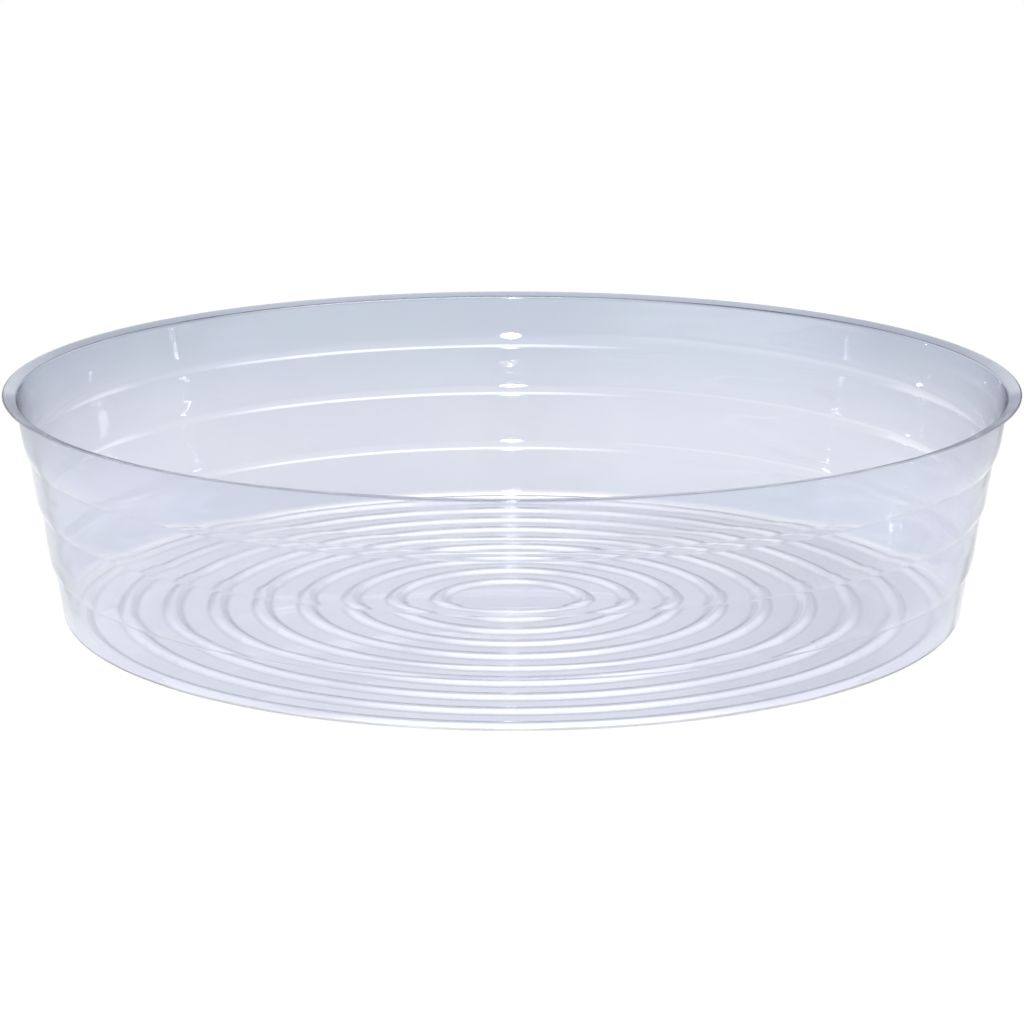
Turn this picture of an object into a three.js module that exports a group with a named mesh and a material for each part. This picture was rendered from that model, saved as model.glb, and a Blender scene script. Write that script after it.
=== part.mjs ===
// Clear basket liner: a round, shallow bowl, vacuum formed from one thin vinyl sheet.
// Millimetres, +Z up. The origin is on the axis, in the plane that the liner rests on.
// The sheet is drawn as its middle line, from the axis out to the trimmed edge of the lip.
// Both faces lie half a sheet away from that line, and the closed outline is turned about the axis.

import * as THREE from 'three';

// Overall sizes
const RIM_DIAMETER = 304.8; // over the trimmed edge of the lip
const OVERALL_HEIGHT = 68.8; // from the resting plane to the top of that edge
const SHEET = 0.5; // thickness of the formed sheet

// Lip, which flares out from the top of the wall
const LIP_WIDTH = 3.8; // radial, from the bend to the trimmed edge
const LIP_RISE = 1.6; // how far the edge stands above the bend
const LIP_BEND_RADIUS = 1.2;

// Wall: upright bands with draft, and a shoulder where each band steps out to the next
const WALL_DRAFT = THREE.MathUtils.degToRad(8.2); // from upright
const SHOULDER_HEIGHTS = [16.4, 34.9, 51.4]; // of the middle of each shoulder
const SHOULDER_STEP = 1.1; // radial
const SHOULDER_RISE = 1.2;
const SHOULDER_RADIUS = 0.8;

// Heel, where the wall turns into the floor
const HEEL_RADIUS = 2.25;
const HEEL_LAND = 0.8; // least flat floor between the last ridge and the heel

// Floor: a plain disc with raised round ridges about it, as many as there is room for
const CENTRE_DISC_RADIUS = 19.4;
const RIDGE_PITCH = 13.5;
const RIDGE_WIDTH = 5.8;
const RIDGE_HEIGHT = 1.25;

// Fineness of the facets
const RIDGE_FACETS = 4;
const LARGEST_BEND_FACET = THREE.MathUtils.degToRad(45);
const SHELL_TRIANGLES = 12300; // at most, shared out around the axis

// Finish of the clear vinyl
const VINYL = {
  name: 'clear_vinyl',
  color: 0xd4d9e6,
  roughness: 0.1,
  metalness: 0,
  transparent: true,
  opacity: 0.4,
};

/** The corners of the wall's middle line, from the heel up to the trimmed edge, each with its bend radius. */
function wallCorners() {
  const lipAngle = Math.atan2(LIP_RISE, LIP_WIDTH);
  const edge = new THREE.Vector2(
    RIM_DIAMETER / 2 - (SHEET / 2) * Math.sin(lipAngle),
    OVERALL_HEIGHT - (SHEET / 2) * Math.cos(lipAngle),
  );
  const bend = new THREE.Vector2(edge.x - LIP_WIDTH, edge.y - LIP_RISE);
  const corners = [
    { at: edge, radius: 0 },
    { at: bend, radius: LIP_BEND_RADIUS },
  ];

  let above = bend;
  const downBand = (height) => new THREE.Vector2(above.x - Math.tan(WALL_DRAFT) * (above.y - height), height);
  for (const middle of [...SHOULDER_HEIGHTS].reverse()) {
    const outer = downBand(middle + SHOULDER_RISE / 2);
    const inner = new THREE.Vector2(outer.x - SHOULDER_STEP, outer.y - SHOULDER_RISE);
    corners.push({ at: outer, radius: SHOULDER_RADIUS }, { at: inner, radius: SHOULDER_RADIUS });
    above = inner;
  }
  corners.push({ at: downBand(SHEET / 2), radius: HEEL_RADIUS });
  return corners.reverse();
}

/** The middle line of the floor, from the axis out to the last ridge that leaves HEEL_LAND before flatEnd. */
function floorLine(flatEnd) {
  const crownRadius = (RIDGE_WIDTH ** 2 / 4 + RIDGE_HEIGHT ** 2) / (2 * RIDGE_HEIGHT);
  const halfAngle = Math.asin(RIDGE_WIDTH / 2 / crownRadius);
  const line = [new THREE.Vector2(0, SHEET / 2)];
  for (let foot = CENTRE_DISC_RADIUS; foot + RIDGE_WIDTH + HEEL_LAND <= flatEnd; foot += RIDGE_PITCH) {
    for (let step = 0; step <= RIDGE_FACETS; step += 1) {
      const angle = halfAngle * ((2 * step) / RIDGE_FACETS - 1);
      line.push(new THREE.Vector2(
        foot + RIDGE_WIDTH / 2 + crownRadius * Math.sin(angle),
        SHEET / 2 + crownRadius * (Math.cos(angle) - Math.cos(halfAngle)),
      ));
    }
  }
  return line;
}

/** An arc of the given radius that rounds the corner between the points before and after it. */
function bendArc(before, corner, after, radius) {
  const back = before.clone().sub(corner).normalize();
  const ahead = after.clone().sub(corner).normalize();
  const turn = Math.PI - Math.acos(back.dot(ahead));
  const start = corner.clone().addScaledVector(back, radius * Math.tan(turn / 2));
  const side = Math.sign(back.cross(ahead));
  const centre = start.clone().add(new THREE.Vector2(-back.y, back.x).multiplyScalar(side * radius));
  const facets = Math.ceil(turn / LARGEST_BEND_FACET);
  const arc = [];
  for (let step = 0; step <= facets; step += 1) {
    arc.push(start.clone().rotateAround(centre, (-side * turn * step) / facets));
  }
  return arc;
}

/** The sheet's whole middle line, with the wall's corners rounded. */
function sheetLine() {
  const corners = wallCorners();
  const heel = corners[0];
  const heelTurn = Math.PI / 2 - WALL_DRAFT;
  const line = floorLine(heel.at.x - heel.radius * Math.tan(heelTurn / 2));
  corners.forEach(({ at, radius }, index) => {
    const before = line.at(-1);
    const after = corners[index + 1]?.at;
    line.push(...(radius > 0 ? bendArc(before, at, after, radius) : [at]));
  });
  return line;
}

/** The line moved sideways by a distance, to its left where that is positive. Corners stay sharp. */
function offsetLine(line, distance) {
  const normals = line.slice(1).map((point, index) => {
    const along = point.clone().sub(line[index]).normalize();
    return new THREE.Vector2(-along.y, along.x);
  });
  return line.map((point, index) => {
    const before = normals[Math.max(index - 1, 0)];
    const after = normals[Math.min(index, normals.length - 1)];
    const mitre = before.clone().add(after).normalize();
    return point.clone().addScaledVector(mitre, distance / mitre.dot(after));
  });
}

/** The liner: the outline of the sheet, out along the under side and back along the upper side, turned. */
function linerShell() {
  const line = sheetLine();
  const outline = [...offsetLine(line, -SHEET / 2), ...offsetLine(line, SHEET / 2).reverse()];
  // The outline's two ends are on the axis, and each other point gives a facet two triangles.
  // Facets in fours keep the full diameter along X and Y.
  const trianglesPerFacet = 2 * (outline.length - 2);
  const facetsAround = 4 * Math.floor(SHELL_TRIANGLES / trianglesPerFacet / 4);
  const shell = new THREE.Mesh(
    new THREE.LatheGeometry(outline, facetsAround),
    new THREE.MeshStandardMaterial(VINYL),
  );
  shell.name = 'liner_shell';
  shell.rotation.x = Math.PI / 2;
  return shell;
}

const liner = new THREE.Group();
liner.add(linerShell());

export default liner;
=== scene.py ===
"""Looks of a clear basket liner: a round, shallow bowl drawn from one thin sheet of vinyl.

Everything is in metres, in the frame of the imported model: +Z is up, the liner's axis is the Z axis,
and the liner rests on the plane Z = 0.
"""

import logging
import math
from collections.abc import Mapping, Sequence
from dataclasses import dataclass, field
from enum import Enum
from typing import Any

import bpy
import numpy as np
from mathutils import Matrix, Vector


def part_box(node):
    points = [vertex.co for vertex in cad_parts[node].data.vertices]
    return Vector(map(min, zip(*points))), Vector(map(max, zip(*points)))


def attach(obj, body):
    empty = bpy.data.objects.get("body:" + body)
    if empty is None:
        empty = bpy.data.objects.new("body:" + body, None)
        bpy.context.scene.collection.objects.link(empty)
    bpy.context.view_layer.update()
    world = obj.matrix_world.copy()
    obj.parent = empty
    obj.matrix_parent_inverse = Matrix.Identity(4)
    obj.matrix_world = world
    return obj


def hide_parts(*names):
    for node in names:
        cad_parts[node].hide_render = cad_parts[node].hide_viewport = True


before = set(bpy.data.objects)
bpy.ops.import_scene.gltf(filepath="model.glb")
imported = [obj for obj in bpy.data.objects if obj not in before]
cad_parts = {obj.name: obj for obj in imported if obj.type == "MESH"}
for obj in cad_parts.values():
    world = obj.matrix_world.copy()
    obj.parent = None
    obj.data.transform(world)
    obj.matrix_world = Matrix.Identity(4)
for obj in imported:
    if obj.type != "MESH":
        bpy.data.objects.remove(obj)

LOG = logging.getLogger("basket_liner")
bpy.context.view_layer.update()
MILLIMETRE = 0.001

Colour = tuple[float, float, float, float]
Triple = tuple[float, float, float]
Span = tuple[float, float]


class Face(Enum):
    """The two faces of the sheet, as the side of its middle that each lies on."""

    UNDER = -1.0
    UPPER = 1.0


class Value:
    """A number that varies over a surface: a socket whose operators add Math nodes."""

    def __init__(self, shader: "Shader", socket: bpy.types.NodeSocket) -> None:
        """Keeps the socket and the shader that it belongs to."""
        self.shader = shader
        self.socket = socket

    def __add__(self, other: "Value | float") -> "Value":
        """The sum of two values."""
        return self.shader.math("ADD", self, other)

    def __sub__(self, other: "Value | float") -> "Value":
        """This value less the other."""
        return self.shader.math("SUBTRACT", self, other)

    def __rsub__(self, other: float) -> "Value":
        """A number less this value."""
        return self.shader.math("SUBTRACT", other, self)

    def __mul__(self, other: "Value | float") -> "Value":
        """The product of two values."""
        return self.shader.math("MULTIPLY", self, other)

    def __truediv__(self, other: "Value | float") -> "Value":
        """This value over the other."""
        return self.shader.math("DIVIDE", self, other)

    __radd__ = __add__
    __rmul__ = __mul__


class Shader:
    """The node tree of a material or of the world, with short ways to add to it."""

    def __init__(self, owner: bpy.types.Material | bpy.types.World) -> None:
        """Empties the owner's node tree."""
        owner.use_nodes = True
        self.tree = owner.node_tree
        self.tree.nodes.clear()

    def node(
        self,
        kind: str,
        settings: Mapping[str, Any] | None = None,
        inputs: Mapping[str | int, Any] | None = None,
    ) -> bpy.types.Node:
        """Adds a node.

        Args:
            kind: The node's type, without its ShaderNode prefix.
            settings: The node's own properties, set first.
            inputs: A value, a socket or a Value for each socket, by name or number.

        Returns:
            The new node.
        """
        node = self.tree.nodes.new("ShaderNode" + kind)
        for name, setting in (settings or {}).items():
            setattr(node, name, setting)
        for key, given in (inputs or {}).items():
            source = given.socket if isinstance(given, Value) else given
            if isinstance(source, bpy.types.NodeSocket):
                self.tree.links.new(source, node.inputs[key])
            else:
                node.inputs[key].default_value = source
        return node

    def math(self, operation: str, first: Value | float, second: Value | float = 0.0) -> Value:
        """Adds a Math node.

        Args:
            operation: The node's operation.
            first: Its first operand.
            second: Its second operand, left out where the operation takes one.

        Returns:
            The result.
        """
        node = self.node("Math", {"operation": operation}, {0: first, 1: second})
        return Value(self, node.outputs[0])

    def value(self, node: bpy.types.Node, output: str | int = 0) -> Value:
        """One output of a node, ready for an expression."""
        return Value(self, node.outputs[output])

    def ramp(self, place: Value, low: float, high: float) -> Value:
        """A smooth step.

        Args:
            place: The value that is tested.
            low: Where the step starts, at 0.
            high: Where it ends, at 1.

        Returns:
            A share from 0 to 1.
        """
        node = self.node(
            "MapRange",
            {"interpolation_type": "SMOOTHSTEP"},
            {"Value": place, "From Min": low, "From Max": high},
        )
        return self.value(node)

    def vector(
        self, operation: str, first: bpy.types.NodeSocket, second: bpy.types.NodeSocket | Sequence[float]
    ) -> bpy.types.Node:
        """Adds a Vector Math node with two operands.

        Args:
            operation: The node's operation.
            first: Its first operand.
            second: Its second operand.

        Returns:
            The new node.
        """
        return self.node("VectorMath", {"operation": operation}, {0: first, 1: second})

    def length(self, place: bpy.types.NodeSocket) -> Value:
        """The length of a vector."""
        return self.value(self.node("VectorMath", {"operation": "LENGTH"}, {0: place}), "Value")

    def size(self, number: Value) -> Value:
        """A number without its sign."""
        return self.math("ABSOLUTE", number)

    def between(self, place: Value, rise: Span, fall: Span) -> Value:
        """A smooth step up and another one down.

        Args:
            place: The value that is tested.
            rise: Where the step up starts and ends.
            fall: Where the step down starts and ends.

        Returns:
            A share from 0 to 1, which is 1 between the two steps.
        """
        return self.ramp(place, *rise) * (1 - self.ramp(place, *fall))

    def mix_shaders(
        self, share: bpy.types.NodeSocket | Value, first: bpy.types.Node, second: bpy.types.Node
    ) -> bpy.types.Node:
        """Mixes two surfaces.

        Args:
            share: How much of the second surface is taken.
            first: The node of the first surface.
            second: The node of the second surface.

        Returns:
            The node of the mixed surface.
        """
        return self.node("MixShader", None, {0: share, 1: first.outputs[0], 2: second.outputs[0]})

    def mix_colours(
        self, share: Value | float, first: Any, second: Any, blend: str = "MIX"
    ) -> bpy.types.NodeSocket:
        """Mixes two colours.

        Args:
            share: How much of the second colour is taken.
            first: A colour or a colour socket.
            second: A colour or a colour socket.
            blend: The way that they are mixed.

        Returns:
            The mixed colour's socket.
        """
        node = self.node("Mix", {"data_type": "RGBA", "blend_type": blend}, {0: share, 6: first, 7: second})
        return node.outputs[2]

    def noise(self, place: bpy.types.NodeSocket, size: Triple, detail: float) -> Value:
        """Cloudy noise.

        Args:
            place: The coordinates that it is laid out on.
            size: The length of one swell along each axis.
            detail: How many finer octaves it has.

        Returns:
            A value near 0.5.
        """
        scaled = self.vector("DIVIDE", place, size)
        node = self.node("TexNoise", None, {"Vector": scaled.outputs[0], "Scale": 1.0, "Detail": detail})
        return self.value(node)

    def finish(self, surface: bpy.types.NodeSocket, kind: str = "OutputMaterial") -> None:
        """Links the surface to the tree's output."""
        self.node(kind, None, {"Surface": surface})


@dataclass(frozen=True)
class ClearVinyl:
    """Clear, faintly blue vinyl, whose tint changes with the parts of the liner.

    A Span is where a change starts and where it is complete.
    """

    # Sizes of the liner that the finish follows
    height: float
    wall_foot: float
    lip_bend_height: float
    disc_radius: float
    ridge_pitch: float
    ridge_width: float

    name: str = "clear_vinyl"
    ior: float = 1.8

    # Tints. Those from edge_on_tint to lavender multiply the tint of the place; the ones at the feet of the
    # rings and at the bend under the lip are painted shade
    floor_tint: Colour = (0.975, 0.98, 0.985, 1.0)
    disc_tint: Colour = (0.92, 0.927, 0.95, 1.0)
    heel_tint: Colour = (0.78, 0.82, 0.91, 1.0)
    wall_tint: Colour = (0.84, 0.87, 0.92, 1.0)
    lip_tint: Colour = (0.77, 0.80, 0.87, 1.0)
    edge_on_tint: Colour = (0.84, 0.85, 0.88, 1.0)
    outline_tint: Colour = (0.76, 0.77, 0.81, 1.0)
    ridge_foot_painted_shade: Colour = (0.82, 0.83, 0.86, 1.0)
    lip_bend_painted_shade: Colour = (0.82, 0.83, 0.87, 1.0)
    lavender: Colour = (1.0, 0.98, 1.0, 1.0)
    shade: Colour = (0.95, 0.955, 0.97, 1.0)

    # Where the tints change, by distance, by height and by how far the sheet turns away
    heel_width: float = 0.8 * MILLIMETRE
    heel_rise: float = 0.35 * MILLIMETRE
    heel_fade: Span = (3.0 * MILLIMETRE, 12.0 * MILLIMETRE)
    heel_clear: Span = (0.5 * MILLIMETRE, 2.5 * MILLIMETRE)
    lip_depth: float = 1.6 * MILLIMETRE
    ridge_foot_shade_reach: Span = (0.2 * MILLIMETRE, 1.1 * MILLIMETRE)
    lip_bend_shade_reach: Span = (0.15 * MILLIMETRE, 0.9 * MILLIMETRE)
    edge_on_facing: Span = (0.35, 0.95)
    outline_facing: Span = (0.70, 0.97)

    # Unevenness of the colour, the gloss and the wall
    drift_size: Triple = (0.045, 0.045, 0.045)
    drift_detail: float = 2.0
    drift_span: Span = (0.35, 0.65)
    cloud_size: Triple = (0.022, 0.022, 0.022)
    cloud_detail: float = 4.0
    cloud_span: Span = (0.4, 0.7)
    swell_size: Triple = (0.018, 0.018, 0.018)
    swell_depth: float = 0.14 * MILLIMETRE
    ripple_size: Triple = (0.020, 0.020, 0.004)
    ripple_depth: float = 0.045 * MILLIMETRE
    ripple_detail: float = 0.0
    least_rough: float = 0.012
    most_rough: float = 0.04

    def material(self) -> bpy.types.Material:
        """Builds the vinyl.

        Returns:
            A clear material that lets lamps through to what lies behind it.
        """
        material = bpy.data.materials.new(self.name)
        shader = Shader(material)
        place = shader.node("TexCoord").outputs["Object"]
        height = shader.value(shader.node("SeparateXYZ", None, {0: place}), "Z")
        level = shader.vector("MULTIPLY", place, (1.0, 1.0, 0.0)).outputs[0]
        from_axis = shader.length(level)
        in_wall = shader.ramp(from_axis, self.wall_foot - self.heel_width, self.wall_foot + self.heel_rise)
        clear = shader.node(
            "BsdfPrincipled",
            None,
            {
                "Base Color": self._tint(shader, place, height, from_axis, in_wall),
                "Roughness": self._roughness(shader, place),
                "IOR": self.ior,
                "Transmission Weight": 1.0,
                "Normal": self._ripples(shader, level, height, in_wall),
            },
        )
        through = shader.node("BsdfTransparent", None, {"Color": self.shade})
        path = shader.node("LightPath")
        lit = shader.mix_shaders(path.outputs["Is Diffuse Ray"], clear, through)
        shader.finish(shader.mix_shaders(path.outputs["Is Shadow Ray"], lit, through).outputs[0])
        return material

    def _tint(
        self, shader: Shader, place: bpy.types.NodeSocket, height: Value, from_axis: Value, in_wall: Value
    ) -> bpy.types.NodeSocket:
        """The sheet's colour: nearly clear in the floor, bluer in the wall, with a slow lavender drift.

        The wall is deeper in colour where it is seen edge on, since light crosses more of the sheet there.
        The plain disc is less clear than the rest, and painted shade darkens the tight bend under the lip
        and the feet of the rings.

        Args:
            shader: The tree that it is added to.
            place: Object coordinates.
            height: The height above the resting plane.
            from_axis: The distance from the axis.
            in_wall: 0 in the floor and 1 in the wall.

        Returns:
            The colour's socket.
        """
        wall = shader.mix_colours(height / self.height, self.heel_tint, self.wall_tint)
        in_lip = shader.ramp(self.height - height, self.lip_depth, 0.0)
        wall = shader.mix_colours(in_lip, wall, self.lip_tint)
        facing = shader.value(shader.node("LayerWeight", None, {"Blend": 0.5}), "Facing")
        above_heel = shader.ramp(height, *self.heel_fade)
        edge_on = shader.ramp(facing, *self.edge_on_facing) * above_heel
        outline = shader.ramp(facing, *self.outline_facing) * above_heel
        wall = shader.mix_colours(edge_on, wall, self.edge_on_tint, "MULTIPLY")
        wall = shader.mix_colours(outline, wall, self.outline_tint, "MULTIPLY")
        # Painted shade along the tight bend under the lip.
        bend_shade = 1 - shader.ramp(shader.size(height - self.lip_bend_height), *self.lip_bend_shade_reach)
        wall = shader.mix_colours(bend_shade, wall, self.lip_bend_painted_shade, "MULTIPLY")
        in_disc = shader.math("LESS_THAN", from_axis, self.disc_radius)
        floor = shader.mix_colours(in_disc, self.floor_tint, self.disc_tint)
        # Painted shade at the feet of the floor's rings.
        foot_shade = self._ridge_foot_shade(shader, from_axis)
        floor = shader.mix_colours(foot_shade, floor, self.ridge_foot_painted_shade, "MULTIPLY")
        whole = shader.mix_colours(in_wall * shader.ramp(height, *self.heel_clear), floor, wall)
        drift = shader.ramp(shader.noise(place, self.drift_size, self.drift_detail), *self.drift_span)
        return shader.mix_colours(drift, whole, self.lavender, "MULTIPLY")

    def _ridge_foot_shade(self, shader: Shader, from_axis: Value) -> Value:
        """Where the floor bends at the feet of its rings.

        The distance from the axis is folded into one pitch, which starts a margin before the inner foot of
        a ring. It is measured from that foot and from the outer one, and gives where the painted shade
        falls.

        Args:
            shader: The tree that it is added to.
            from_axis: The distance from the axis.

        Returns:
            1 at a foot, falling to 0 beside it.
        """
        margin = self.ridge_foot_shade_reach[1]
        start = self.disc_radius - margin
        turns = shader.math("FRACT", (from_axis - start) / self.ridge_pitch)
        from_inner = turns * self.ridge_pitch - margin
        near_inner, near_outer = (
            1 - shader.ramp(shader.size(offset), *self.ridge_foot_shade_reach)
            for offset in (from_inner, from_inner - self.ridge_width)
        )
        inside = shader.math("LESS_THAN", from_axis, self.wall_foot - self.ridge_width)
        ringed = shader.math("GREATER_THAN", from_axis, start) * inside
        return (near_inner + near_outer) * ringed

    def _roughness(self, shader: Shader, place: bpy.types.NodeSocket) -> Value:
        """Gloss that is dulled a little in cloudy patches, as handling leaves it.

        Args:
            shader: The tree that it is added to.
            place: Object coordinates.

        Returns:
            The roughness.
        """
        clouds = shader.ramp(shader.noise(place, self.cloud_size, self.cloud_detail), *self.cloud_span)
        return self.least_rough + (self.most_rough - self.least_rough) * clouds

    def _ripples(
        self, shader: Shader, level: bpy.types.NodeSocket, height: Value, in_wall: Value
    ) -> bpy.types.NodeSocket:
        """The shallow ripples that drawing leaves in the wall.

        They are laid out around the axis and up it, and don't change through the sheet, so its two faces
        ripple together.

        Args:
            shader: The tree that they are added to.
            level: Object coordinates without their height.
            height: The height above the resting plane.
            in_wall: 0 in the floor and 1 in the wall.

        Returns:
            The bent normal's socket.
        """
        heading = shader.node("VectorMath", {"operation": "NORMALIZE"}, {0: level}).outputs[0]
        around = shader.node("VectorMath", {"operation": "SCALE"}, {0: heading, "Scale": self.wall_foot})
        up = shader.node("CombineXYZ", None, {"Z": height})
        along = shader.vector("ADD", around.outputs[0], up.outputs[0]).outputs[0]
        swells = shader.noise(along, self.swell_size, self.ripple_detail) * self.swell_depth
        ripples = shader.noise(along, self.ripple_size, self.ripple_detail) * self.ripple_depth
        depth = (swells + ripples) * in_wall
        bump = shader.node("Bump", None, {"Strength": 1.0, "Distance": 1.0, "Height": depth})
        return bump.outputs[0]


def rounded_line(
    corners: np.ndarray, bends: np.ndarray, facet: float, stride: float
) -> tuple[np.ndarray, np.ndarray]:
    """Rounds the corners of an open line.

    Each corner becomes an arc that touches both of its sides: it starts bend * tan(turn / 2) before the
    corner, and from there x = bend * (sin h - sin h0) and z = bend * (cos h0 - cos h), as the heading h
    goes evenly from one side's to the next one's.

    Args:
        corners: The corners, as rows of radius and height.
        bends: The radius of the arc at each corner but the two ends.
        facet: The largest turn between two points of an arc.
        stride: The largest length between them.

    Returns:
        The line's points, and its heading at each.
    """
    sides = np.diff(corners, axis=0)
    sides /= np.linalg.norm(sides, axis=1, keepdims=True)
    headings = np.arctan2(sides[:, 1], sides[:, 0])
    turns = np.diff(headings)
    starts = corners[1:-1] - sides[:-1] * (bends * np.tan(np.abs(turns) / 2))[:, None]

    counts = np.ceil(np.abs(turns) * np.maximum(1 / facet, bends / stride)).astype(int) + 1
    arc = np.repeat(np.arange(len(turns)), counts)
    step = np.arange(len(arc)) - np.repeat(np.cumsum(counts) - counts, counts)
    first = headings[:-1][arc]
    heading = first + turns[arc] * step / (counts - 1)[arc]
    swing = (bends * np.sign(turns))[arc]
    along = np.stack([np.sin(heading) - np.sin(first), np.cos(first) - np.cos(heading)], axis=1)
    points = starts[arc] + swing[:, None] * along

    line = np.vstack([corners[:1], points, corners[-1:]])
    return line, np.concatenate([headings[:1], heading, headings[-1:]])


def with_supports(
    line: np.ndarray, headings: np.ndarray, longest: float, margin: float
) -> tuple[np.ndarray, np.ndarray]:
    """Adds points to the long straight stretches of a line.

    A stretch longer than the limit gets a point at its middle and one a margin from each end, so that
    smooth shading keeps it straight. The points are found by their length along the line.

    Args:
        line: The line's points.
        headings: Its heading at each point.
        longest: The length of stretch that needs no support.
        margin: How far from its ends a stretch is held.

    Returns:
        The line with its new points, and its heading at each.
    """
    lengths = np.linalg.norm(np.diff(line, axis=0), axis=1)
    along = np.concatenate([[0.0], np.cumsum(lengths)])
    starts = along[:-1][lengths > longest]
    ends = along[1:][lengths > longest]
    added = np.concatenate([starts + margin, (starts + ends) / 2, ends - margin])
    every = np.sort(np.concatenate([along, added]))
    points = np.stack([np.interp(every, along, line[:, axis]) for axis in range(2)], axis=1)
    return points, np.interp(every, along, headings)


def turned_mesh(name: str, rings: np.ndarray, poles: np.ndarray) -> bpy.types.Mesh:
    """Makes the mesh of a closed, turned shape, with its faces outwards.

    Args:
        name: The mesh's name.
        rings: Points by ring and then by angle, from the first pole to the second.
        poles: The two points on the axis.

    Returns:
        The mesh, shaded smooth.
    """
    count, around = rings.shape[:2]
    here = 1 + np.arange(count * around).reshape(count, around)
    beside = np.roll(here, -1, axis=1)
    quads = np.stack([here[:-1], beside[:-1], beside[1:], here[1:]], axis=-1).reshape(-1, 4)
    first = np.stack([np.zeros(around, int), beside[0], here[0]], axis=-1)
    last = np.stack([np.full(around, 1 + count * around), here[-1], beside[-1]], axis=-1)
    points = np.vstack([poles[:1], rings.reshape(-1, 3), poles[1:]])
    mesh = bpy.data.meshes.new(name)
    mesh.from_pydata(points.tolist(), [], first.tolist() + quads.tolist() + last.tolist())
    mesh.polygons.foreach_set("use_smooth", np.ones(len(mesh.polygons), bool))
    mesh.update()
    return mesh


@dataclass(frozen=True)
class TrimmedEdge:
    """The cut edge of the lip, where the die left the vinyl matt and cloudy."""

    name: str = "trimmed_edge"
    pale: Colour = (0.44, 0.45, 0.52, 1.0)
    dull: Colour = (0.36, 0.37, 0.44, 1.0)
    nick_size: Triple = (0.006, 0.006, 0.006)
    nick_detail: float = 3.0
    nick_span: Span = (0.35, 0.65)
    roughness: float = 0.5

    def material(self) -> bpy.types.Material:
        """Builds the cut edge's cloudy grey.

        Returns:
            The material.
        """
        material = bpy.data.materials.new(self.name)
        shader = Shader(material)
        place = shader.node("TexCoord").outputs["Object"]
        nicks = shader.ramp(shader.noise(place, self.nick_size, self.nick_detail), *self.nick_span)
        cut = shader.node(
            "BsdfPrincipled",
            None,
            {"Base Color": shader.mix_colours(nicks, self.pale, self.dull), "Roughness": self.roughness},
        )
        shader.finish(cut.outputs[0])
        return material


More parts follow.
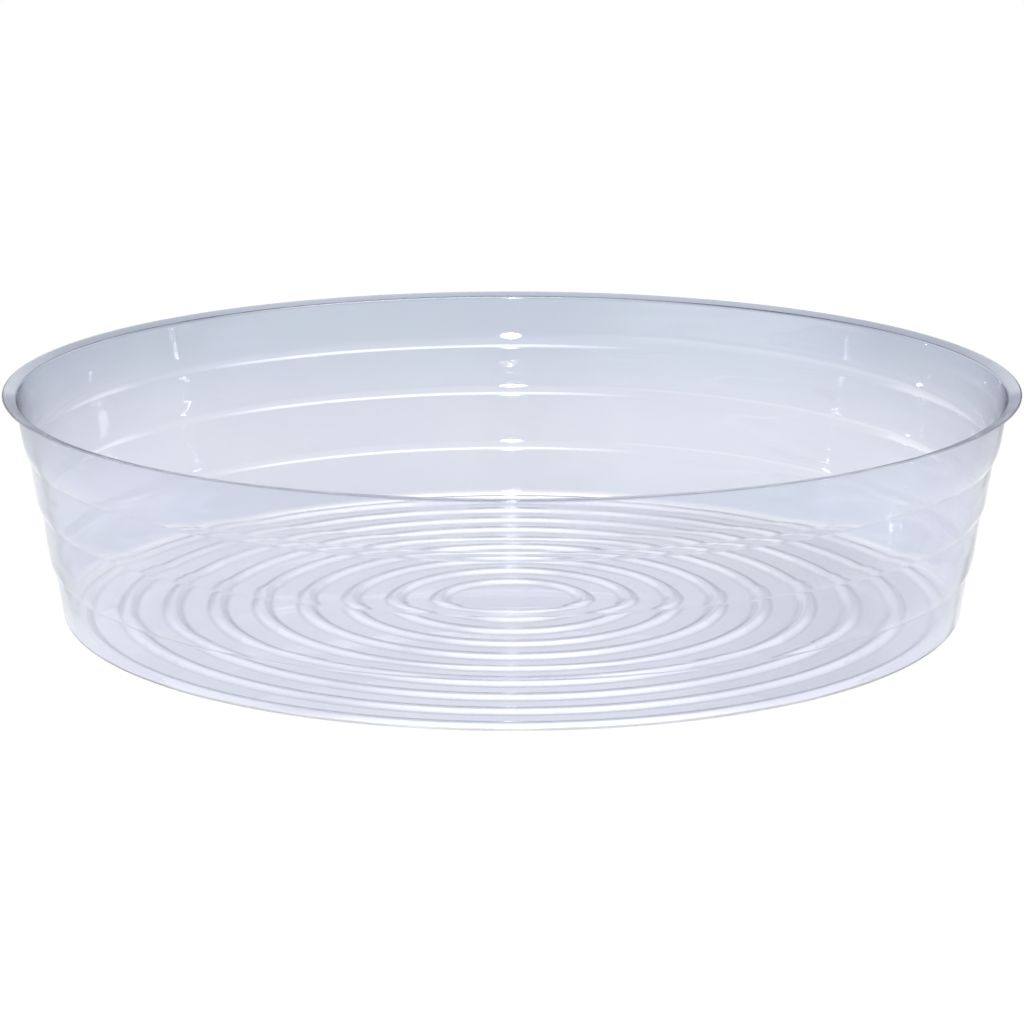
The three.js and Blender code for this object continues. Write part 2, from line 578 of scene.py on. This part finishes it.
@dataclass
class LinerShell:
    """The whole liner: one drawn sheet with a lip, a stepped wall, a heel and a ringed floor."""

    box: Sequence[Sequence[float]]
    node: str = "liner_shell"
    floor_sheet: float = 0.20 * MILLIMETRE
    lip_sheet: float = 0.45 * MILLIMETRE

    # Lip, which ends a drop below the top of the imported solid
    lip_width: float = 3.8 * MILLIMETRE
    lip_rise: float = 1.05 * MILLIMETRE
    lip_drop: float = 0.35 * MILLIMETRE
    lip_bend: float = 0.7 * MILLIMETRE

    # Wall: bands with draft, each with a flare at its foot above a shoulder's ledge
    draft: float = math.radians(7.8)
    shoulder_heights: tuple[float, ...] = (16.4 * MILLIMETRE, 34.9 * MILLIMETRE, 50.8 * MILLIMETRE)
    flare_lengths: tuple[float, ...] = (1.95 * MILLIMETRE, 1.95 * MILLIMETRE, 3.0 * MILLIMETRE)
    flare_bends: tuple[float, ...] = (8.5 * MILLIMETRE, 8.5 * MILLIMETRE, 22.0 * MILLIMETRE)
    flare_angle: float = math.radians(17.0)
    ledge_step: float = 0.86 * MILLIMETRE
    ledge_rise: float = 1.27 * MILLIMETRE
    ledge_top_bend: float = 8.6 * MILLIMETRE
    ledge_nose_bend: float = 0.8 * MILLIMETRE
    heel_bend: float = 2.1 * MILLIMETRE

    # Floor: a plain disc with round ridges about it
    disc_radius: float = 19.4 * MILLIMETRE
    ridge_count: int = 9
    ridge_pitch: float = 13.5 * MILLIMETRE
    ridge_width: float = 5.8 * MILLIMETRE
    ridge_height: float = 1.25 * MILLIMETRE
    ridge_slope: float = math.radians(30.0)
    ridge_foot_bend: float = 1.0 * MILLIMETRE

    # Fineness of the mesh
    facets_around: int = 152
    facet: float = math.radians(10.0)
    stride: float = 0.6 * MILLIMETRE
    edge_points: int = 5
    longest_stretch: float = 2.0 * MILLIMETRE
    support_margin: float = 0.3 * MILLIMETRE

    # Unevenness of the drawn wall
    warp_waves: tuple[int, ...] = (2, 3, 5, 8)
    warp_depths: tuple[float, ...] = (
        0.18 * MILLIMETRE,
        0.12 * MILLIMETRE,
        0.10 * MILLIMETRE,
        0.05 * MILLIMETRE,
    )
    warp_phases: tuple[float, ...] = (0.4, 2.1, 1.3, 4.0)
    warp_twist: float = 3.0
    piece: bpy.types.Object = field(init=False)

    @property
    def rim_radius(self) -> float:
        """The radius over the trimmed edge of the lip."""
        return (self.box[1][0] - self.box[0][0]) / 2

    @property
    def height(self) -> float:
        """The height of the lip above the resting plane, a little under the solid's."""
        return self.box[1][2] - self.box[0][2] - self.lip_drop

    @property
    def wall_foot(self) -> float:
        """The radius at which the wall's slope meets the floor."""
        return float(self.wall_corners()[0][0, 0])

    def vinyl(self) -> ClearVinyl:
        """The finish of the sheet, fitted to its sizes."""
        return ClearVinyl(
            height=self.height,
            wall_foot=self.wall_foot,
            lip_bend_height=self.height - self.lip_sheet / 2 - self.lip_rise,
            disc_radius=self.disc_radius,
            ridge_pitch=self.ridge_pitch,
            ridge_width=self.ridge_width,
        )

    def floor_corners(self) -> tuple[np.ndarray, np.ndarray]:
        """The corners of the floor's middle line.

        A ridge is two straight flanks and a round crown. Its flanks meet at half its width times the
        tangent of their slope, and the crown's bend brings that point down to the ridge's height.

        Returns:
            The corners from the axis out, and the bend of each but the first.
        """
        half = self.ridge_width / 2
        peak = half * math.tan(self.ridge_slope)
        crown = (peak - self.ridge_height) / (1 / math.cos(self.ridge_slope) - 1)
        feet = self.disc_radius + self.ridge_pitch * np.arange(self.ridge_count)
        radii = (feet[:, None] + np.array([0.0, half, self.ridge_width])).ravel()
        rises = np.tile([0.0, peak, 0.0], self.ridge_count)
        bends = np.tile([self.ridge_foot_bend, crown, self.ridge_foot_bend], self.ridge_count)
        corners = np.stack([np.concatenate([[0.0], radii]), np.concatenate([[0.0], rises])], axis=1)
        return corners + [0.0, self.floor_sheet / 2], bends

    def wall_corners(self) -> tuple[np.ndarray, np.ndarray]:
        """The corners of the wall's middle line.

        Heights are listed from the heel up, with the slope of each stretch between them, and the radii
        are summed down from the bend under the lip.

        Returns:
            The corners from the heel to the trimmed edge, and the bend of each but the last.
        """
        middles = np.array(self.shoulder_heights)
        noses = middles - self.ledge_rise / 2
        tops = middles + self.ledge_rise / 2
        shoulders = np.stack([noses, tops, tops + self.flare_lengths], axis=1)
        edge_height = self.height - self.lip_sheet / 2
        heights = np.concatenate([[self.floor_sheet / 2], shoulders.ravel(), [edge_height - self.lip_rise]])
        upright = math.tan(self.draft)
        shoulder_slopes = [self.ledge_step / self.ledge_rise, math.tan(self.flare_angle), upright]
        slopes = np.concatenate([[upright], np.tile(shoulder_slopes, len(middles))])
        edge_radius = self.rim_radius - self.lip_sheet / 2
        steps = slopes * np.diff(heights)
        below = np.concatenate([np.cumsum(steps[::-1])[::-1], [0.0]])
        radii = edge_radius - self.lip_width - below
        corners = np.stack([np.append(radii, edge_radius), np.append(heights, edge_height)], axis=1)
        ledge_bends = np.tile([self.ledge_nose_bend, self.ledge_top_bend], (len(middles), 1))
        shoulder_bends = np.column_stack([ledge_bends, self.flare_bends])
        bends = np.concatenate([[self.heel_bend], shoulder_bends.ravel(), [self.lip_bend]])
        return corners, bends

    def outline(self) -> np.ndarray:
        """The outline of the sheet's section.

        The middle line is moved out by half the sheet to each face, along its normal, and a half round
        joins the two faces at the trimmed edge. The sheet thickens evenly with height.

        Returns:
            Rows of radius and height, along the under face to the edge and back along the upper face.
        """
        floor, floor_bends = self.floor_corners()
        wall, wall_bends = self.wall_corners()
        corners, bends = np.vstack([floor, wall]), np.concatenate([floor_bends, wall_bends])
        line, headings = rounded_line(corners, bends, self.facet, self.stride)
        line, headings = with_supports(line, headings, self.longest_stretch, self.support_margin)
        thickness = np.interp(line[:, 1], [0.0, self.height], [self.floor_sheet, self.lip_sheet])
        normals = np.stack([-np.sin(headings), np.cos(headings)], axis=1)
        under, upper = (line + normals * (face.value * thickness / 2)[:, None] for face in Face)

        across = np.linspace(Face.UNDER.value, Face.UPPER.value, self.edge_points + 2)[1:-1]
        turn = headings[-1] + across * math.pi / 2
        edge = line[-1] + thickness[-1] / 2 * np.stack([np.cos(turn), np.sin(turn)], axis=1)
        return np.vstack([under, edge, upper[::-1]])

    def warp(self, angles: np.ndarray, heights: np.ndarray) -> np.ndarray:
        """How far the wall leans out of true.

        A sum of a few waves around the axis, each turned a little with height, that fades to nothing at
        the floor and at the lip.

        Args:
            angles: Angles around the axis.
            heights: Heights above the resting plane.

        Returns:
            The outward shift at each angle and height.
        """
        rise = heights / self.height
        waves = [
            depth * np.cos(wave * angles + phase + self.warp_twist * rise)
            for wave, depth, phase in zip(self.warp_waves, self.warp_depths, self.warp_phases)
        ]
        return np.sum(waves, axis=0) * np.sin(math.pi * np.clip(rise, 0.0, 1.0))

    def surface(self) -> tuple[np.ndarray, np.ndarray]:
        """The section's outline carried around the axis.

        A point is (r cos a, r sin a, z), with r and z from the outline and the warp added to r.

        Returns:
            The rings, as points by ring and angle, and the two poles.
        """
        outline = self.outline()
        angles = np.linspace(0.0, 2 * math.pi, self.facets_around, endpoint=False)[None, :]
        radii, heights = outline[1:-1, :1], outline[1:-1, 1:]
        spread = radii + self.warp(angles, heights)
        rings = np.stack([spread * np.cos(angles), spread * np.sin(angles), heights + 0 * angles], axis=-1)
        poles = np.array([[0.0, 0.0, outline[0, 1]], [0.0, 0.0, outline[-1, 1]]])
        return rings, poles

    def build(self) -> bpy.types.Object:
        """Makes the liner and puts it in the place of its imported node.

        Returns:
            The liner's object.
        """
        mesh = turned_mesh(self.node + "_fine", *self.surface())
        self.piece = bpy.data.objects.new(mesh.name, mesh)
        bpy.context.scene.collection.objects.link(self.piece)
        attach(self.piece, "root")
        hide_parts(self.node)
        return self.piece

    def dress(self, finish: ClearVinyl, edge_finish: TrimmedEdge) -> None:
        """Gives the sheet its finish, and the trimmed edge another.

        Args:
            finish: The finish of both faces.
            edge_finish: The finish of the half round between them.
        """
        mesh = self.piece.data
        mesh.materials.append(finish.material())
        mesh.materials.append(edge_finish.material())
        centres = np.empty(3 * len(mesh.polygons))
        mesh.polygons.foreach_get("center", centres)
        from_axis = np.hypot(*centres.reshape(-1, 3)[:, :2].T)
        at_edge = from_axis > self.rim_radius - self.lip_sheet / 2
        mesh.polygons.foreach_set("material_index", at_edge.astype(np.int32))


@dataclass(frozen=True)
class PaleFloor:
    """A white table top that runs out of sight and keeps the liner's soft shadow.

    Its glow is white to the camera. Through the vinyl it fades with distance to a painted grey-blue shade,
    deeper left and right of the liner, and mirrored in the vinyl it fades to a painted dark grey shade, a
    little lighter in the half that lies beyond the liner's axis.
    """

    half_width: float = 12.0
    white: Colour = (0.90, 0.90, 0.90, 1.0)
    near_share: float = 0.7
    near: float = 0.20
    far: float = 0.70
    drop: float = 0.1 * MILLIMETRE
    glow: Colour = (1.0, 1.0, 1.0, 1.0)
    # Painted shade: what the table shows through the vinyl and mirrored in it
    painted_shade_through: Colour = (0.75, 0.805, 0.885, 1.0)
    painted_side_shade: Colour = (0.60, 0.645, 0.725, 1.0)
    mirrored: Colour = (0.20, 0.21, 0.25, 1.0)
    painted_mirror_shade_behind: Colour = (0.38, 0.40, 0.46, 1.0)
    through_shade_fade: Span = (0.20, 0.46)
    side_shade_fade: Span = (0.11, 0.17)
    painted_mirror_shade_fade: Span = (0.22, 0.40)
    behind: Span = (0.0, 0.15)

    def build(self) -> bpy.types.Object:
        """Makes the table top.

        Returns:
            Its object.
        """
        square = np.array([[-1, -1, 0], [1, -1, 0], [1, 1, 0], [-1, 1, 0]])
        corners = square * self.half_width - [0, 0, self.drop]
        mesh = bpy.data.meshes.new("floor")
        mesh.from_pydata(corners.tolist(), [], [[0, 1, 2, 3]])
        mesh.materials.append(self.material())
        floor = bpy.data.objects.new("floor", mesh)
        bpy.context.scene.collection.objects.link(floor)
        return floor

    def material(self) -> bpy.types.Material:
        """Builds the white of the table top.

        Near the liner it is partly lit paint, so a shadow shows. Further out it is seen as plain white,
        but through the vinyl, and mirrored in it, it is greyer by painted shade, as the photographed room
        was.

        Returns:
            The material.
        """
        material = bpy.data.materials.new("floor_white")
        shader = Shader(material)
        place = shader.node("TexCoord").outputs["Object"]
        path = shader.node("LightPath")
        direct = shader.value(path, "Is Camera Ray")
        seen = shader.math("MAXIMUM", direct, shader.value(path, "Is Transmission Ray"))
        seen = shader.math("MAXIMUM", seen, shader.value(path, "Is Glossy Ray"))
        distance = shader.length(place)
        share = self.near_share + (1 - self.near_share) * shader.ramp(distance, self.near, self.far)
        glow = shader.node("Emission", None, {"Color": self._glow_colour(shader, place, path, distance)})
        paint = shader.node("BsdfDiffuse", None, {"Color": self.white})
        shader.finish(shader.mix_shaders(seen * share, paint, glow).outputs[0])
        return material

    def _glow_colour(
        self, shader: Shader, place: bpy.types.NodeSocket, path: bpy.types.Node, distance: Value
    ) -> bpy.types.NodeSocket:
        """The colour that the table shows, directly, through the vinyl and mirrored in it.

        Args:
            shader: The tree that it is added to.
            place: Object coordinates.
            path: The Light Path node.
            distance: The distance from the liner's axis.

        Returns:
            The colour's socket.
        """
        parts = shader.node("SeparateXYZ", None, {0: place})
        aside = shader.ramp(shader.size(shader.value(parts, "X")), *self.side_shade_fade)
        # Painted shade: seen through the vinyl the table is greyer, and greyer still left and right of the
        # liner.
        painted_shade_through = shader.mix_colours(aside, self.painted_shade_through, self.painted_side_shade)
        through = (1 - shader.value(path, "Is Camera Ray")) * shader.ramp(distance, *self.through_shade_fade)
        colour = shader.mix_colours(through, self.glow, painted_shade_through)
        # Painted shade: mirrored in the vinyl the table turns dark grey, a little lighter beyond the
        # liner's axis.
        back = shader.ramp(shader.value(parts, "Y"), *self.behind)
        mirrored = shader.mix_colours(back, self.mirrored, self.painted_mirror_shade_behind)
        bounced = shader.math("MINIMUM", shader.value(path, "Glossy Depth"), 1.0)
        return shader.mix_colours(bounced * shader.ramp(distance, *self.painted_mirror_shade_fade), colour, mirrored)


@dataclass(frozen=True)
class StudioRoom:
    """The room around the table: plain white to the camera, and grey to everything else.

    Its wall is darker to the right and near the table, and dim at the front right. A grey rail runs round
    it, low down. Above the rail two pale panels stand behind, left and right of the middle. A wide, soft
    light hangs over the table, a little to the right of it, and a strip light at the front right.
    """

    backdrop: Colour = (1.0, 1.0, 1.0, 1.0)
    horizon: Colour = (0.50, 0.52, 0.57, 1.0)
    wall: Colour = (0.83, 0.835, 0.85, 1.0)
    right_wall: Colour = (0.27, 0.29, 0.35, 1.0)
    panel: Colour = (1.15, 1.15, 1.18, 1.0)
    rail: Colour = (0.36, 0.37, 0.42, 1.0)
    dim: Colour = (0.08, 0.083, 0.09, 1.0)
    ceiling: Colour = (0.42, 0.43, 0.46, 1.0)
    light: Colour = (3.0, 3.0, 3.05, 1.0)

    # Where each part starts and is complete, along an axis or against a heading
    horizon_rise: Span = (0.03, 0.14)
    rail_rise: Span = (0.05, 0.11)
    rail_fall: Span = (0.165, 0.22)
    panel_side: Span = (0.22, 0.34)
    panel_back: Span = (0.32, 0.52)
    panel_rise: Span = (0.22, 0.36)
    panel_fall: Span = (0.80, 0.90)
    right_turn: Span = (0.02, 0.12)
    ceiling_rise: Span = (0.20, 0.45)
    dim_heading: Triple = (0.55, -0.835, 0.0)
    dim_share: Span = (0.25, 0.75)
    light_heading: Triple = (0.10, 0.05, 0.9937)
    light_share: Span = (0.81, 0.97)
    strip_axis: Triple = (0.0, 0.27, 0.963)
    strip_rise: Span = (0.47, 0.56)
    strip_fall: Span = (0.63, 0.72)
    strip_heading: Triple = (0.42, -0.907, 0.0)
    strip_reach: Span = (0.26, 0.62)

    def build(self) -> None:
        """Makes the world."""
        world = bpy.data.worlds.new("room")
        bpy.context.scene.world = world
        shader = Shader(world)
        direction = shader.node("TexCoord").outputs["Generated"]
        parts = shader.node("SeparateXYZ", None, {0: direction})
        right, back, rise = (shader.value(parts, axis) for axis in "XYZ")
        to_dim, to_light, to_axis, to_strip = (
            shader.value(shader.vector("DOT_PRODUCT", direction, heading), "Value")
            for heading in (self.dim_heading, self.light_heading, self.strip_axis, self.strip_heading)
        )
        wall = shader.mix_colours(shader.ramp(right, *self.right_turn), self.wall, self.right_wall)
        colour = shader.mix_colours(shader.ramp(rise, *self.horizon_rise), self.horizon, wall)
        colour = shader.mix_colours(shader.between(rise, self.rail_rise, self.rail_fall), colour, self.rail)
        colour = shader.mix_colours(shader.ramp(to_dim, *self.dim_share), colour, self.dim)
        colour = shader.mix_colours(shader.ramp(rise, *self.ceiling_rise), colour, self.ceiling)
        panel = shader.ramp(shader.size(right), *self.panel_side) * shader.ramp(back, *self.panel_back)
        panel = panel * shader.between(rise, self.panel_rise, self.panel_fall)
        colour = shader.mix_colours(panel, colour, self.panel)
        colour = shader.mix_colours(shader.ramp(to_light, *self.light_share), colour, self.light)
        strip = shader.between(to_axis, self.strip_rise, self.strip_fall)
        strip = strip * shader.ramp(to_strip, *self.strip_reach)
        colour = shader.mix_colours(strip, colour, self.light)
        direct = shader.value(shader.node("LightPath"), "Is Camera Ray")
        colour = shader.mix_colours(direct, colour, self.backdrop)
        background = shader.node("Background", None, {"Color": colour, "Strength": 1.0})
        shader.finish(background.outputs[0], "OutputWorld")


@dataclass(frozen=True)
class Softbox:
    """A soft, flat lamp that faces the liner."""

    name: str
    azimuth: float
    elevation: float
    distance: float
    width: float
    height: float
    radiance: float
    aim: Triple = (0.0, 0.0, 0.03)

    def build(self) -> bpy.types.Object:
        """Makes the lamp. Azimuth 0 is towards the camera, and 90 degrees is towards +X.

        Its power is pi times its radiance times the area of its ellipse.

        Returns:
            The lamp's object.
        """
        area = math.pi / 4 * self.width * self.height
        lamp = bpy.data.lights.new(self.name, "AREA")
        lamp.shape = "ELLIPSE"
        lamp.size = self.width
        lamp.size_y = self.height
        lamp.energy = math.pi * self.radiance * area
        out = Vector(
            (
                math.cos(self.elevation) * math.sin(self.azimuth),
                -math.cos(self.elevation) * math.cos(self.azimuth),
                math.sin(self.elevation),
            )
        )
        holder = bpy.data.objects.new(self.name, lamp)
        holder.location = Vector(self.aim) + out * self.distance
        holder.rotation_euler = out.to_track_quat("Z", "Y").to_euler()
        holder.visible_camera = False
        bpy.context.scene.collection.objects.link(holder)
        return holder


@dataclass(frozen=True)
class PhotoCamera:
    """The camera at the photograph's viewing angle."""

    distance: float = 1.0372
    elevation: float = math.radians(13.81)
    aim_height: float = 0.0275
    lens: float = 119.73
    sensor: float = 36.0
    clip: Span = (0.01, 60.0)

    def build(self) -> bpy.types.Object:
        """Makes the camera, which looks along +Y and down, and sets it as the scene's.

        Returns:
            The camera's object.
        """
        data = bpy.data.cameras.new("photo_camera")
        data.lens = self.lens
        data.sensor_width = self.sensor
        data.clip_start, data.clip_end = self.clip
        camera = bpy.data.objects.new("photo_camera", data)
        back = Vector((0.0, -math.cos(self.elevation), math.sin(self.elevation)))
        camera.location = Vector((0.0, 0.0, self.aim_height)) + back * self.distance
        camera.rotation_euler = back.to_track_quat("Z", "Y").to_euler()
        bpy.context.scene.collection.objects.link(camera)
        bpy.context.scene.camera = camera
        return camera


@dataclass(frozen=True)
class Studio:
    """The stage: table, room, lamps and camera."""

    lamps: tuple[Softbox, ...] = (
        Softbox(
            name="front_lamp",
            azimuth=0.0,
            elevation=math.radians(19.2),
            distance=1.60,
            width=0.15,
            height=0.325,
            radiance=12.0,
        ),
        Softbox(
            name="front_core",
            azimuth=0.0,
            elevation=math.radians(19.2),
            distance=1.59,
            width=0.06,
            height=0.323,
            radiance=140.0,
        ),
        Softbox(
            name="far_left_lamp",
            azimuth=math.radians(-123.0),
            elevation=math.radians(6.5),
            distance=1.60,
            width=0.03,
            height=0.10,
            radiance=110.0,
        ),
    )

    def build(self) -> None:
        """Makes everything that isn't the liner."""
        bpy.context.scene.view_settings.view_transform = "Standard"
        PaleFloor().build()
        StudioRoom().build()
        for lamp in self.lamps:
            LOG.info("lamp %s", lamp.build().name)
        PhotoCamera().build()


def main() -> None:
    """Builds the stage and the liner, and reports each piece."""
    logging.basicConfig(level=logging.INFO, format="%(name)s: %(message)s")
    Studio().build()
    shell = LinerShell(box=[list(corner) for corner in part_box("liner_shell")])
    piece = shell.build()
    shell.dress(shell.vinyl(), TrimmedEdge())
    LOG.info("piece %s: %d faces", piece.name, len(piece.data.polygons))


if __name__ == "__main__":
    main()
